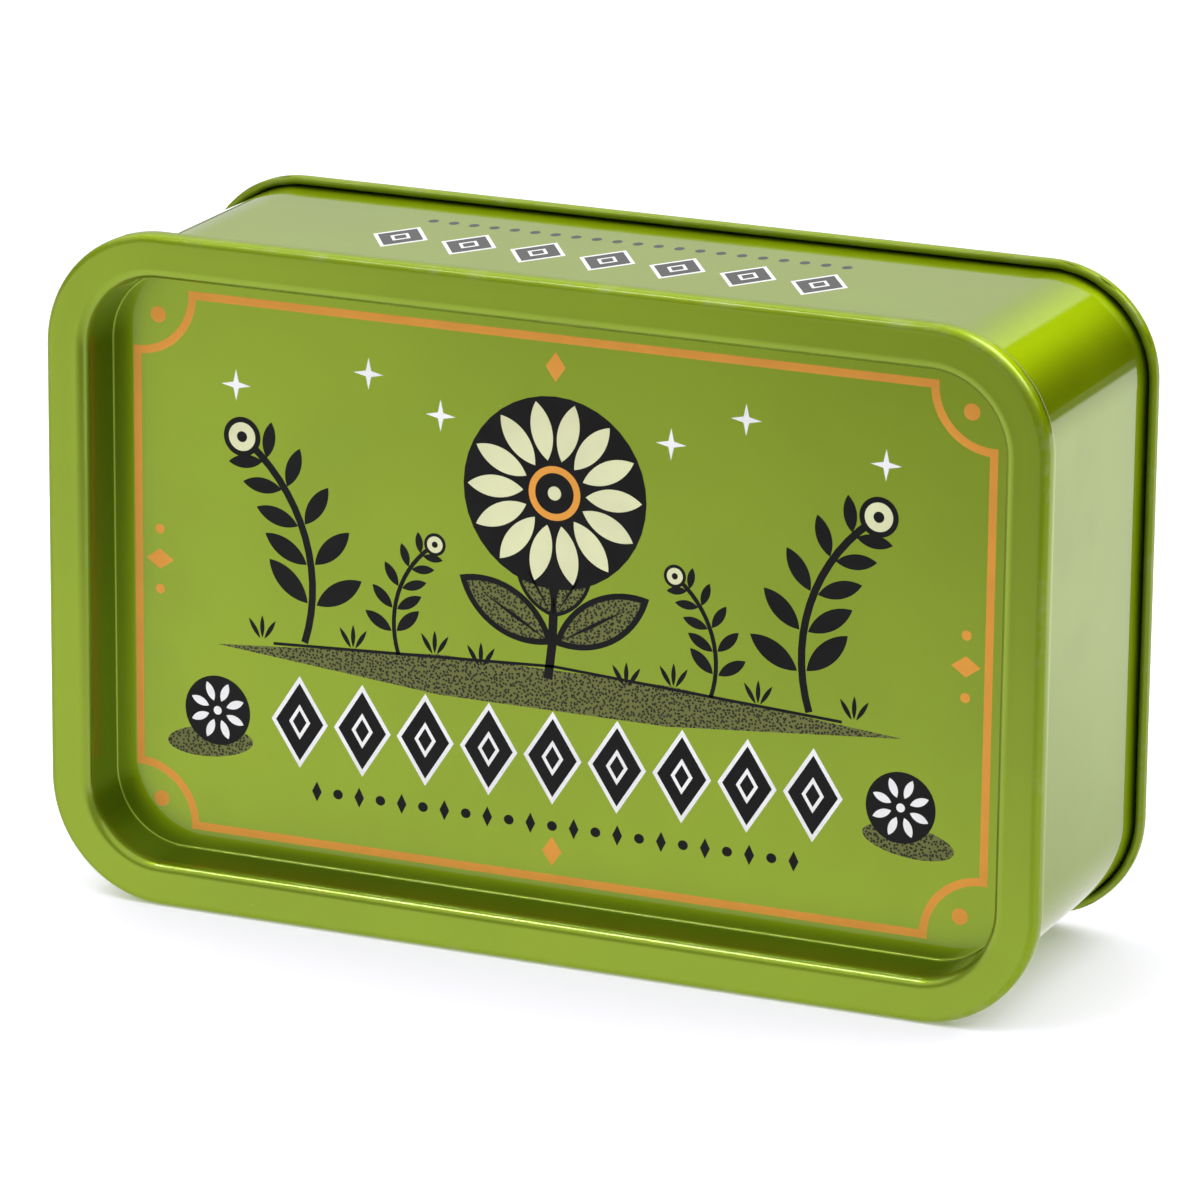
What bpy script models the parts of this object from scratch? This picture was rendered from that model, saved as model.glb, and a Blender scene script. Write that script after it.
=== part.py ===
"""Storage tin: a drawn lid, a bent body wall and a bottom panel hooked to it, standing on one long side.

Metres, +Z up. X runs along the tin, and the recessed picture face looks along -Y. The origin is on the floor
under the middle of the tin. Each piece is one sheet, drawn as the middle line of its section and swept round
the tin's outline. A section has two coordinates: inset is the distance inwards from the lid's outline, and
depth is the distance back from the rim face.
"""
import math

import bmesh
import bpy
from mathutils import Vector

# Overall sizes
WIDTH = 0.190
HEIGHT = 0.1244
DEPTH = 0.062
CORNER = 0.0221
LEAST_CORNER = 0.002

# Sheet, the gap between sheets and the reach of a weld
SHEET = 0.0003
CLEARANCE = 0.0003
WELD = 0.000001

# Lid
RIM_WIDTH = 0.008
RIM_OUTER_ROUND = 0.0015
RIM_INNER_ROUND = 0.0014
RECESS_DEPTH = 0.010
RECESS_LEAN = 0.0005
RECESS_FOOT_ROUND = 0.001
PICTURE_BORDER = 0.002
SKIRT_DEPTH = 0.005
LID_CURL = 0.0034
LID_CURL_TURN = math.radians(240)

# Body wall
MOUTH_CURL = 0.0022
MOUTH_CURL_TURN = math.radians(270)
SIDE_SEAM_WIDTH = 0.005
SIDE_SEAM_SHOULDER = 0.0003
SIDE_SEAM_SHEETS = 2
SIDE_SEAM_END = 0.0015

# Seam that holds the bottom panel
SEAM_GAP = 0.0004
HOOK_LENGTH = 0.0009

# Bottom panel
COUNTERSINK = 0.003
COUNTERSINK_ROUND = 0.0009
LEDGE_WIDTH = 0.006
STEP_HEIGHT = 0.0008
STEP_LEAN = 0.0008
STEP_ROUND = 0.0008
STEP_BORDER = 0.002

# Steps in each round stretch
CORNER_STEPS = 10
ROUND_STEPS = 4
LID_CURL_STEPS = 8
MOUTH_CURL_STEPS = 9
BEND_STEPS = 8

# Places that follow from the sizes
HALF_SHEET = SHEET / 2
WALL_INSET = LID_CURL + CLEARANCE
WALL_LINE = WALL_INSET + HALF_SHEET
MOUTH_DEPTH = SHEET + CLEARANCE
HOOK_BEND = (SEAM_GAP + 2 * SHEET + CLEARANCE) / 2
COVER_BEND = HOOK_BEND + SHEET + CLEARANCE
FOLD_BEND = SHEET + CLEARANCE
BEND_LINE = WALL_LINE - HOOK_BEND
HOOK_LINE = BEND_LINE - HOOK_BEND
HOOK_BACK = DEPTH - HALF_SHEET - COVER_BEND
HOOK_FRONT = HOOK_BACK - HOOK_LENGTH
MIDDLE = Vector((0, -DEPTH / 2, HEIGHT / 2))

# Lacquer, as linear red, green and blue
LID_GREEN = (0.27, 0.37, 0.018)
WALL_GREEN = (0.25, 0.35, 0.015)
BOTTOM_GREEN = (0.23, 0.33, 0.014)
GLOSS_ROUGHNESS = 0.22
BASE_ROUGHNESS = 0.32
LACQUER_METALLIC = 0.1
SHARP_ANGLE = math.radians(40)


def clear_scene():
    for item in list(bpy.data.objects):
        bpy.data.objects.remove(item, do_unlink=True)


def arc(centre, radius, start, turn, steps):
    """Points of an arc, from the angle start through turn. Angle zero points inwards."""
    points = []
    for step in range(steps + 1):
        angle = start + turn * step / steps
        points.append(centre + radius * Vector((math.cos(angle), math.sin(angle))))
    return points


def rounded(before, corner, after, radius, steps):
    """Points of the round that replaces a corner of the middle line."""
    back = (before - corner).normalized()
    ahead = (after - corner).normalized()
    half_angle = back.angle(ahead) / 2
    reach = min(radius / math.tan(half_angle), (before - corner).length, (after - corner).length)
    radius = reach * math.tan(half_angle)
    centre = corner + (back + ahead).normalized() * radius / math.sin(half_angle)
    first = corner + back * reach - centre
    turn = first.angle_signed(corner + ahead * reach - centre)
    start = math.atan2(first.y, first.x)
    return arc(centre, radius, start, -turn, steps)


def side_of(line, distance):
    """The middle line moved sideways, with its bends mitred."""
    moved = []
    for index, point in enumerate(line):
        before = (point - line[index - 1]).normalized() if index else None
        after = (line[index + 1] - point).normalized() if index + 1 < len(line) else None
        before = before or after
        after = after or before
        normals = [Vector((way.y, -way.x)) for way in (before, after)]
        mitre = (normals[0] + normals[1]).normalized()
        moved.append(point + mitre * distance / mitre.dot(normals[0]))
    return moved


def both_sides(line):
    """The section of a sheet: out along one side of its middle line and back along the other."""
    return side_of(line, HALF_SHEET) + side_of(line, -HALF_SHEET)[::-1]


def outline(inset, splits):
    """A rounded rectangle in X and Z, with extra points at splits along its lower side."""
    radius = max(CORNER - inset, LEAST_CORNER)
    reach_x = WIDTH / 2 - inset - radius
    reach_z = HEIGHT / 2 - inset - radius
    points = []
    for quarter, (side_x, side_z) in enumerate(((1, -1), (1, 1), (-1, 1), (-1, -1))):
        centre = Vector((side_x * reach_x, side_z * reach_z))
        points += arc(centre, radius, (quarter - 1) * math.pi / 2, math.pi / 2, CORNER_STEPS)
    return points + [Vector((x, -reach_z - radius)) for x in splits]


def places_round(point, splits):
    """Where a point of a section lies all the way round the tin."""
    return [Vector((corner.x, point.y, corner.y)) for corner in outline(point.x, splits)]


def ring_edges(mesh, corners):
    """The edges that join a ring of corners, made where they are missing."""
    pairs = [(corner, corners[index - 1]) for index, corner in enumerate(corners)]
    return [mesh.edges.get(pair) or mesh.edges.new(pair) for pair in pairs]


def extrude_ring(mesh, corners, places):
    """Extrudes a ring of edges and sets its new corners to their places."""
    made = bmesh.ops.extrude_edge_only(mesh, edges=ring_edges(mesh, corners))["geom"]
    fresh = {item for item in made if isinstance(item, bmesh.types.BMVert)}
    moved = []
    for corner, place in zip(corners, places):
        ends = [edge.other_vert(corner) for edge in corner.link_edges]
        twin = next(end for end in ends if end in fresh)
        twin.co = place
        moved.append(twin)
    return moved


def sweep(mesh, section, splits=()):
    """Extrudes the tin's outline from point to point of a section. Gives its first and last rings."""
    first = [mesh.verts.new(place) for place in places_round(section[0], splits)]
    last = first
    for point in section[1:]:
        last = extrude_ring(mesh, last, places_round(point, splits))
    return first, last


def lacquer(name, colour, roughness):
    material = bpy.data.materials.new(name)
    material.use_nodes = True
    shader = material.node_tree.nodes["Principled BSDF"]
    shader.inputs["Base Color"].default_value = (*colour, 1)
    shader.inputs["Roughness"].default_value = roughness
    shader.inputs["Metallic"].default_value = LACQUER_METALLIC
    return material


def finish(mesh, name, material):
    """Turns a closed mesh into a named object whose origin is at the middle of the rim face."""
    bmesh.ops.recalc_face_normals(mesh, faces=mesh.faces)
    data = bpy.data.meshes.new(name)
    mesh.to_mesh(data)
    mesh.free()
    data.shade_smooth()
    data.set_sharp_from_angle(angle=SHARP_ANGLE)
    data.materials.append(material)
    item = bpy.data.objects.new(name, data)
    item.location = MIDDLE
    bpy.context.collection.objects.link(item)
    return item


def make_pan(name, line, material):
    """A dished sheet: its section swept round the tin, and its flat middle closed on both faces."""
    mesh = bmesh.new()
    for ring in sweep(mesh, both_sides(line)):
        bmesh.ops.edgeloop_fill(mesh, edges=ring_edges(mesh, ring))
    return finish(mesh, name, material)


def lid_line():
    """Middle line of the lid, from the picture panel out over the rim and into the rolled edge."""
    foot = Vector((RIM_WIDTH + RECESS_LEAN - HALF_SHEET, RECESS_DEPTH + HALF_SHEET))
    panel = foot + Vector((RECESS_FOOT_ROUND + PICTURE_BORDER, 0))
    crest = Vector((RIM_WIDTH - HALF_SHEET, HALF_SHEET))
    shoulder = Vector((HALF_SHEET, HALF_SHEET))
    curl = Vector((LID_CURL / 2, SKIRT_DEPTH - LID_CURL / 2))
    curl_radius = LID_CURL / 2 - HALF_SHEET
    skirt_end = curl - Vector((curl_radius, 0))
    line = [panel]
    line += rounded(panel, foot, crest, RECESS_FOOT_ROUND + HALF_SHEET, ROUND_STEPS)
    line += rounded(foot, crest, shoulder, RIM_INNER_ROUND - HALF_SHEET, ROUND_STEPS)
    line += rounded(crest, shoulder, skirt_end, RIM_OUTER_ROUND - HALF_SHEET, ROUND_STEPS)
    return line + arc(curl, curl_radius, math.pi, -LID_CURL_TURN, LID_CURL_STEPS)


def wall_line():
    """Middle line of the body wall, from its rolled mouth to the hook at its back edge."""
    curl_radius = MOUTH_CURL / 2 - HALF_SHEET
    curl = Vector((WALL_LINE + curl_radius, MOUTH_DEPTH + MOUTH_CURL / 2))
    line = arc(curl, curl_radius, math.pi + MOUTH_CURL_TURN, -MOUTH_CURL_TURN, MOUTH_CURL_STEPS)
    line += [Vector((WALL_LINE, depth)) for depth in side_seam_depths()]
    line += arc(Vector((BEND_LINE, HOOK_BACK)), HOOK_BEND, 0, math.pi, BEND_STEPS)
    return line + [Vector((HOOK_LINE, HOOK_FRONT))]


def bottom_line():
    """Middle line of the bottom panel, from its raised middle out round the body's hook."""
    ledge_depth = DEPTH - COUNTERSINK - HALF_SHEET
    countersink_line = WALL_INSET + SHEET + CLEARANCE + HALF_SHEET
    step_foot = Vector((countersink_line + LEDGE_WIDTH, ledge_depth))
    step_top = step_foot + Vector((STEP_LEAN, STEP_HEIGHT))
    middle = step_top + Vector((STEP_ROUND + STEP_BORDER, 0))
    countersink_foot = Vector((countersink_line, ledge_depth))
    cover_start = Vector((countersink_line, HOOK_BACK))
    line = [middle]
    line += rounded(middle, step_top, step_foot, STEP_ROUND, ROUND_STEPS)[:-1]
    line += rounded(step_top, step_foot, countersink_foot, STEP_ROUND, ROUND_STEPS)
    line += rounded(step_foot, countersink_foot, cover_start, COUNTERSINK_ROUND, ROUND_STEPS)
    line += arc(Vector((BEND_LINE, HOOK_BACK)), COVER_BEND, 0, math.pi, BEND_STEPS)
    line += arc(Vector((HOOK_LINE, HOOK_FRONT)), FOLD_BEND, math.pi, math.pi, BEND_STEPS)
    return line + [Vector((HOOK_LINE + FOLD_BEND, HOOK_BACK))]


def side_seam_depths():
    """Depths at which the lapped side seam starts and ends on the inside of the wall."""
    front = MOUTH_DEPTH + MOUTH_CURL + SIDE_SEAM_END
    back = DEPTH - COUNTERSINK - SHEET - SIDE_SEAM_END
    return [front, front + SIDE_SEAM_SHOULDER, back - SIDE_SEAM_SHOULDER, back]


def thicken_side_seam(mesh):
    """Raises the lap of the side seam from the inner face of the wall's lower side."""
    inner_floor = WALL_INSET + SHEET - HEIGHT / 2
    front, back = side_seam_depths()[1:3]
    for corner in mesh.verts:
        place = corner.co
        near = abs(place.z - inner_floor) < HALF_SHEET and abs(place.x) < SIDE_SEAM_WIDTH / 2 + HALF_SHEET
        if near and front - HALF_SHEET < place.y < back + HALF_SHEET:
            place.z += SIDE_SEAM_SHEETS * SHEET


def make_wall(material):
    """The bent strip: a closed section swept round the tin, with the lap of its side seam inside."""
    mesh = bmesh.new()
    seam_edge = SIDE_SEAM_WIDTH / 2
    seam_foot = seam_edge + SIDE_SEAM_SHOULDER
    section = both_sides(wall_line())
    first, last = sweep(mesh, section + section[:1], (-seam_foot, -seam_edge, seam_edge, seam_foot))
    bmesh.ops.remove_doubles(mesh, verts=first + last, dist=WELD)
    thicken_side_seam(mesh)
    return finish(mesh, "body_wall", material)


def build():
    clear_scene()
    make_pan("lid", lid_line(), lacquer("lid_lacquer", LID_GREEN, GLOSS_ROUGHNESS))
    make_wall(lacquer("wall_lacquer", WALL_GREEN, GLOSS_ROUGHNESS))
    make_pan("bottom_panel", bottom_line(), lacquer("bottom_lacquer", BOTTOM_GREEN, BASE_ROUGHNESS))


build()
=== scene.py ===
"""Storage tin: glossy green lacquer over tinplate, a printed picture panel and a pale studio."""
import math

import bmesh
import bpy
from mathutils import Matrix, Vector


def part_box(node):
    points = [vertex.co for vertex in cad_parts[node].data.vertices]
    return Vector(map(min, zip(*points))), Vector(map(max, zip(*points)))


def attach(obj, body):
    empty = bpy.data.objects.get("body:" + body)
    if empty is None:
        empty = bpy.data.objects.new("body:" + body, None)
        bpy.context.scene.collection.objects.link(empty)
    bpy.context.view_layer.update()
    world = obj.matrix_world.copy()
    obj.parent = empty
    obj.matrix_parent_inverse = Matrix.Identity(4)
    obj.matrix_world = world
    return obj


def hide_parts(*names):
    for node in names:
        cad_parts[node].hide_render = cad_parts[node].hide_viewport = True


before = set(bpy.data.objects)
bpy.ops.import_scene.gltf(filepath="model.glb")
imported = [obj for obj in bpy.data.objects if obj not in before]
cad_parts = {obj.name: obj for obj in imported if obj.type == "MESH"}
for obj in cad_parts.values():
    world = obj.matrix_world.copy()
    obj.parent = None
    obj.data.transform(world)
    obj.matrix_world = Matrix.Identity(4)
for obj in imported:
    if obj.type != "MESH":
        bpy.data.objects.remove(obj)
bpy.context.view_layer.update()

MM = 0.001

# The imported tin, which every piece here is fitted to
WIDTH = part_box("lid")[1].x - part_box("lid")[0].x
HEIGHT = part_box("lid")[1].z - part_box("lid")[0].z
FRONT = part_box("lid")[0].y
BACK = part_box("bottom_panel")[1].y
DEPTH = BACK - FRONT
MIDDLE_HEIGHT = HEIGHT / 2
CORNER = 22.1 * MM

# Sheet and gaps
SHEET = 0.3 * MM
HALF_SHEET = SHEET / 2
GAP = 0.3 * MM
WELD = 0.001 * MM

# Lid
RIM_WIDTH = 8 * MM
OUTER_ROUND = 1.5 * MM
INNER_ROUND = 2 * MM
RECESS_DEPTH = 10 * MM
RECESS_LEAN = 0.5 * MM
FOOT_ROUND = 0.3 * MM
PANEL_BORDER = 2 * MM
SKIRT_DEPTH = 5 * MM
LID_CURL = 3.4 * MM
LID_CURL_TURN = 240

# Wall, its rolled mouth and the hook at its back edge
WALL_INSET = LID_CURL + GAP
WALL_LINE = WALL_INSET + HALF_SHEET
MOUTH_CURL = 2.2 * MM
MOUTH_DEPTH = SHEET + GAP
MOUTH_TURN = 270
SEAM_GAP = 0.4 * MM
HOOK_LENGTH = 0.9 * MM
HOOK_BEND = (SEAM_GAP + 2 * SHEET + GAP) / 2
COVER_BEND = HOOK_BEND + SHEET + GAP
FOLD_BEND = SHEET + GAP
BEND_LINE = WALL_LINE - HOOK_BEND
HOOK_LINE = BEND_LINE - HOOK_BEND
HOOK_BACK = DEPTH - HALF_SHEET - COVER_BEND
HOOK_FRONT = HOOK_BACK - HOOK_LENGTH

# Lapped side seam, on the inside of the lower side
LAP_WIDTH = 5 * MM
LAP_START = 4.6 * MM
LAP_END = 56.9 * MM
LAP_THICKNESS = 0.6 * MM
LAP_ROUND = 0.25 * MM
LAP_ROUND_STEPS = 4

# Creases of the seam at each corner, by column from the long side, and how far each is pressed in
CRIMPS = ((2, 0.1 * MM), (3, 0.16 * MM), (8, 0.2 * MM), (9, 0.12 * MM), (15, 0.08 * MM), (18, 0.18 * MM))

# Bottom panel
COUNTERSINK = 3 * MM
COUNTERSINK_ROUND = 0.9 * MM
LEDGE_WIDTH = 6 * MM
STEP_HEIGHT = 0.8 * MM
STEP_LEAN = 0.8 * MM
STEP_ROUND = 0.8 * MM
STEP_BORDER = 2 * MM

# Steps in each stretch
ROUND_STEPS = 8
CURL_STEPS = 24
BEND_STEPS = 14
CORNER_STEPS = 24
LONG_STEPS = 16
SHORT_STEPS = 10
SHARP_ANGLE = math.radians(40)

# Narrow strips at both ends of a flat stretch, which keep the shading of the flat between them even
STRIP = 0.12 * MM
STRIPS = 2

# Camera, as fitted to the tin's outline in the photograph
FRAME_PIXELS = 1200
FOCAL_PIXELS = 7299.1
SENSOR = 36
YAW = 0.4118
PITCH = 0.2864
ROLL = 0.0099
CLIP_END = 50

# The tin's front middle as the camera sees it, in widths of the tin: to the right, upwards and ahead
CAMERA_SHARES = (-0.064, -0.024, 6.6947)


class Wire:
    """An output socket that takes part in sums and products as a number does."""

    def __init__(self, tree, socket):
        self.tree = tree
        self.socket = socket

    def maths(self, operation, *terms):
        return add_node(self.tree, "ShaderNodeMath", {"operation": operation}, dict(enumerate(terms)))

    def __add__(self, other):
        return self.maths("ADD", self, other)

    def __radd__(self, other):
        return self.maths("ADD", other, self)

    def __sub__(self, other):
        return self.maths("SUBTRACT", self, other)

    def __rsub__(self, other):
        return self.maths("SUBTRACT", other, self)

    def __mul__(self, other):
        return self.maths("MULTIPLY", self, other)

    def __truediv__(self, other):
        return self.maths("DIVIDE", self, other)

    def __abs__(self):
        return self.maths("ABSOLUTE", self)

    def __lt__(self, other):
        return self.maths("LESS_THAN", self, other)

    def ramp(self, low, high, start=0, end=1):
        """A smooth change from start to end as this value goes from low to high."""
        values = {"Value": self, "From Min": low, "From Max": high, "To Min": start, "To Max": end}
        return add_node(self.tree, "ShaderNodeMapRange", {"interpolation_type": "SMOOTHSTEP"}, values)


def add_node(tree, kind, settings=None, values=None, output=0):
    """Adds a node. Its settings are set first, then its sockets, each from a number, a colour or a wire."""
    node = tree.nodes.new(kind)
    for name, value in (settings or {}).items():
        setattr(node, name, value)
    for name, value in (values or {}).items():
        if isinstance(value, Wire):
            tree.links.new(value.socket, node.inputs[name])
        else:
            node.inputs[name].default_value = value
    return Wire(tree, node.outputs[output]) if node.outputs else None


def split_axes(tree, place):
    """A place's X, Y and Z."""
    parts = add_node(tree, "ShaderNodeSeparateXYZ", values={"Vector": place})
    return [Wire(tree, socket) for socket in parts.socket.node.outputs]


def ray_kinds(tree):
    """Whether a ray comes from the camera, and whether it leaves a glossy surface."""
    kinds = add_node(tree, "ShaderNodeLightPath").socket.node.outputs
    return Wire(tree, kinds["Is Camera Ray"]), Wire(tree, kinds["Is Glossy Ray"])


class Finish:
    """A material on a Principled shader, with the patterns that the tin's surfaces share."""

    def __init__(self, name, **uniform):
        self.material = bpy.data.materials.new(name)
        self.material.use_nodes = True
        self.tree = self.material.node_tree
        self.shader = self.tree.nodes["Principled BSDF"]
        for socket, value in uniform.items():
            self.shader.inputs[socket.replace("_", " ").title()].default_value = value
        self.place = self.node("ShaderNodeTexCoord", output="Object")

    def node(self, kind, settings=None, values=None, output=0):
        return add_node(self.tree, kind, settings, values, output)

    def feed(self, socket, wire):
        self.tree.links.new(wire.socket, self.shader.inputs[socket])

    def axes(self):
        """The place's X, Y and Z."""
        return split_axes(self.tree, self.place)

    def inset(self):
        """How far a place lies inside the tin's outline, seen from the front."""
        across, _, upwards = self.axes()
        past_side = abs(across) - (WIDTH / 2 - CORNER)
        past_top = abs(upwards - MIDDLE_HEIGHT) - (HEIGHT / 2 - CORNER)
        round_x, round_z = past_side.maths("MAXIMUM", past_side, 0), past_top.maths("MAXIMUM", past_top, 0)
        from_corner = across.maths("SQRT", round_x * round_x + round_z * round_z)
        on_flat = across.maths("MINIMUM", past_side.maths("MAXIMUM", past_side, past_top), 0)
        return CORNER - from_corner - on_flat

    def noise(self, size, detail, stretch=(1, 1, 1), roughness=0.5):
        """Noise from about 0 to 1 whose features are size metres across, longer along a stretched axis."""
        scale = [1 / (size * part) for part in stretch]
        spread = self.node("ShaderNodeMapping", values={"Vector": self.place, "Scale": scale})
        values = {"Vector": spread, "Scale": 1, "Detail": detail, "Roughness": roughness}
        return self.node("ShaderNodeTexNoise", values=values)

    def specks(self, spacing, radius, share, dimensions="3D", where=None):
        """A mask of round specks, one in each share of the cells of a grid of that spacing."""
        values = {"Vector": where or self.place, "Scale": 1 / spacing}
        near = self.node("ShaderNodeTexVoronoi", {"voronoi_dimensions": dimensions}, values)
        cell = Wire(self.tree, near.socket.node.outputs["Color"])
        draw = self.node("ShaderNodeSeparateColor", values={"Color": cell})
        return near.ramp(radius / spacing, 0.5 * radius / spacing) * (draw < share)

    def blend(self, share, first, second):
        """A colour that goes from first to second with share."""
        settings = {"data_type": "RGBA"}
        values = {"Factor": share, 6: first, 7: second}
        return self.node("ShaderNodeMix", settings, values, output=2)

    def relief(self, *heights):
        """Bumps whose heights are in metres."""
        total = heights[0]
        for height in heights[1:]:
            total = total + height
        values = {"Strength": 1, "Distance": 1, "Height": total}
        self.feed("Normal", self.node("ShaderNodeBump", values=values))


# Noise: how many finer layers it has, and where clouds begin and end
PLAIN = 1
CLOUDY = 3
BROKEN = 4
CLOUD_EDGES = (0.3, 0.7)

# Relief in the lacquer and the ink, each pattern by its size across and its height
ORANGE_PEEL = (1.1 * MM, 0.0016 * MM)
WAVES = (26 * MM, 0.018 * MM)
RIPPLE = (8 * MM, 0.005 * MM)
DUST_HEIGHT = 0.01 * MM

# The rim face by its inset: flat in the middle, a little higher at its inner edge, lower at its outer one
RIM_MIDDLE = 3.8 * MM
RIM_HALF = 2.2 * MM
RIM_WAVE = 0.035 * MM

# Green lacquer
LID_GREEN = (0.27, 0.385, 0.002, 1)
WALL_GREEN = (0.26, 0.365, 0.002, 1)
BOTTOM_GREEN = (0.27, 0.37, 0.004, 1)
DEEP_SHARE = 0.96
LIGHT_SHARE = 1.03
GREEN_CLOUD = 38 * MM
METAL_SHARE = 0.95
EDGE_TINT = (0.65, 0.65, 0.06, 1)
COAT_ROUGHNESS = 0.025
LID_ROUGHNESS = 0.3
BODY_ROUGHNESS = 0.48
SMUDGE_SIZE = 17 * MM
SMUDGE_EDGES = (0.45, 0.75)
SMUDGE_DULLNESS = 0.05
GRAIN_SIZE = 0.5 * MM
GRAIN_DULLNESS = 0.03

# Dust and pits, each by the spacing of its grid, its radius and the share of the grid's cells that it fills
DUST = (5.5 * MM, 0.16 * MM, 0.16)
DUST_COLOUR = (0.62, 0.66, 0.34, 1)
DUST_COVER = 0.7
DUST_DULLNESS = 0.2
PITS = (9 * MM, 0.14 * MM, 0.12)
PIT_COLOUR = (0.05, 0.07, 0.01, 1)
PIT_COVER = 0.6

# The dark line where the strip's outer end lies on the lap
LAP_LINE = (0.16 * MM, 0.06 * MM)
LAP_LINE_COLOUR = (0.04, 0.06, 0.01, 1)
LAP_LINE_COVER = 0.7

# Painted shade that darkens the recess wall, by where it lies in depth and inset, its colour and how much
RECESS_TOP = (1 * MM, 2.5 * MM)
RECESS_FOOT = (RECESS_DEPTH - 0.05 * MM, RECESS_DEPTH - 0.4 * MM)
RECESS_REACH = (0.6 * MM, 0.4 * MM)
PAINTED_SHADE_COLOUR = (0.02, 0.04, 0, 1)
RECESS_SHADE = 0.3

# Wear, and where it fades by inset and by depth on the lid's edge, the rim's crest and the rear bead
EDGE_INSET = (1.6 * MM, 0.8 * MM)
EDGE_DEPTH = (3.5 * MM, 2 * MM)
CREST_INSET = (0.8 * MM, 0.2 * MM)
CREST_DEPTH = (1.2 * MM, 0.5 * MM)
BEAD_INSET = (3.6 * MM, 3 * MM)
BEAD_DEPTH = (DEPTH - 3.4 * MM, DEPTH - 2.8 * MM)
WORN_COLOUR = (0.5, 0.52, 0.3, 1)
WORN_PATCH = 7 * MM
WORN_ROUGHNESS = 0.7
WORN_EDGES = (0.5, 0.68)
EDGE_WEAR = 0.22
WORN_DULLNESS = 0.15
EDGE_DULLNESS = 0.2
EDGE_COAT_LOSS = 0.5
BEAD_COAT_LOSS = 0.55

# Bare tinplate, with the fine lines of the rolling mill
LINE_SIZE = 0.35 * MM
LINE_STRETCH = (60, 1, 1)
LINE_HEIGHT = 0.0012 * MM
LINE_COLOURS = ((0.58, 0.57, 0.54, 1), (0.72, 0.71, 0.68, 1))
LINE_DULLNESS = 0.1
TIN_CLOUD = 14 * MM
TIN_CLOUD_COLOUR = (0.5, 0.5, 0.49, 1)
TIN_CLOUD_COVER = 0.35
TIN_CLOUD_DULLNESS = 0.06
TIN_ROUGHNESS = 0.24

# Printing ink
BLACK_INK = (0.004, 0.0038, 0.004, 1)
WHITE_INK = (0.9, 0.9, 0.89, 1)
CREAM_INK = (0.72, 0.74, 0.44, 1)
OLIVE_INK = (0.16, 0.175, 0.05, 1)
ORANGE_INK = (0.82, 0.355, 0.055, 1)
INK_METAL = 0.3
INK_SHINE = 0.1
INK_ROUGHNESS = 0.32
INK_DULLNESS = 0.05
PANEL_INK_COAT = 0.12
TOP_INK_COAT = 0.5
INK_CLOUD = 9 * MM
THIN_SHARE = 0.92
THIN_LIFT = 0.003
DENSE_SHARE = 0.88
DENSE_COVER = 0.25
INK_GRAIN = 0.12 * MM
INK_GRAIN_EDGES = (0.35, 0.75)
STIPPLE = (0.62 * MM, 0.28 * MM, 0.96)
STIPPLE_COLOUR = (0.02, 0.02, 0.015, 1)


def shade_of(colour, share, lift=0):
    return [min(part * share + lift, 1) for part in colour[:3]] + [1]


def lacquer_relief(finish, *extra):
    """Orange peel and the slow waves of pressed sheet, alike on the lacquer and on the ink under it."""
    heights = [finish.noise(size, PLAIN) * height for size, height in (ORANGE_PEEL, WAVES, RIPPLE)]
    finish.relief(*heights, *extra)


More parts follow.
